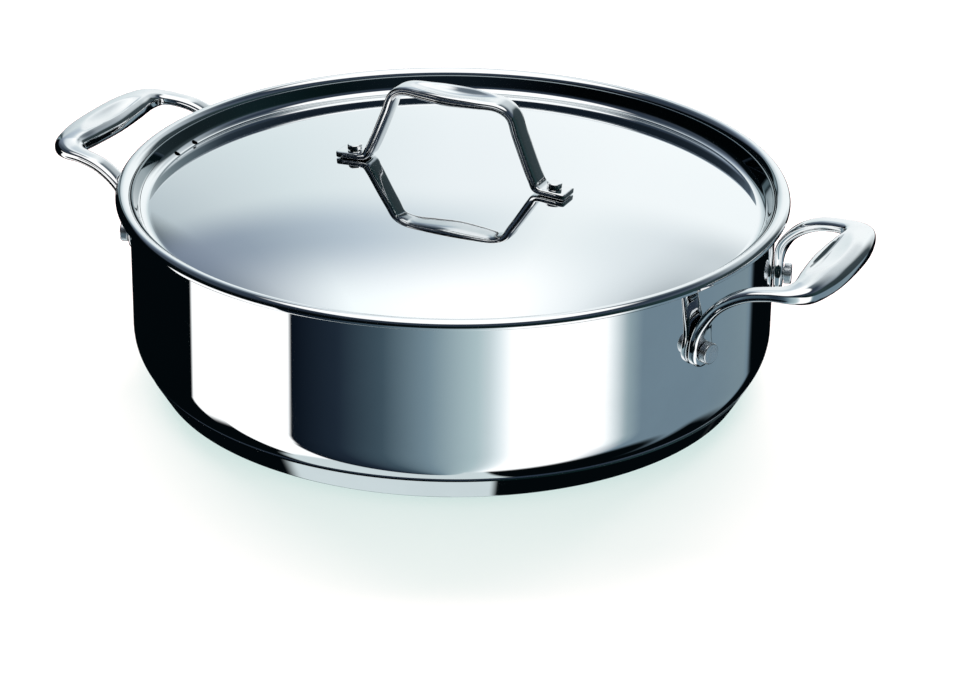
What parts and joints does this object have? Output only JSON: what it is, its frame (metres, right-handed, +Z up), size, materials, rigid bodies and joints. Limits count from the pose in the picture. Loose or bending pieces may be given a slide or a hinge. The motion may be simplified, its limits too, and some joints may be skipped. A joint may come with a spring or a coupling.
{
  "type": "saute pan",
  "caption": "Round straight-sided saute pan in polished steel with a rolled rim, a capped thick base, riveted loop handles and an inset domed lid that lifts off by a bridge handle.",
  "frame": {"origin": "centre of the underside of the base", "axes": "+Z up along the pan's axis, X through the two side handles, with the lid's straining holes on the -X side"},
  "size_m": [0.3748, 0.294, 0.1296],
  "materials": {
    "polished_steel": "mirror polished stainless steel",
    "lid_steel": "mirror polished stainless steel",
    "cast_steel": "polished cast stainless steel",
    "rivet_steel": "satin stainless steel",
    "core_aluminium": "plain rolled disc"
  },
  "bodies": {
    "pan": {"pan_body": "polished_steel", "base_cap": "polished_steel", "base_core": "core_aluminium", "right_handle": "cast_steel", "right_handle_rivet_front": "rivet_steel", "right_handle_rivet_rear": "rivet_steel", "left_handle": "cast_steel", "left_handle_rivet_front": "rivet_steel", "left_handle_rivet_rear": "rivet_steel"},
    "lid": {"lid_shell": "lid_steel", "lid_handle": "cast_steel", "lid_rivet_left": "rivet_steel", "lid_rivet_right": "rivet_steel"}
  },
  "joints": [
    {"name": "lid_lift", "type": "slide", "parent": "pan", "child": "lid", "axis": [0, 0, 1], "range_m": [0, 0.12]}
  ]
}
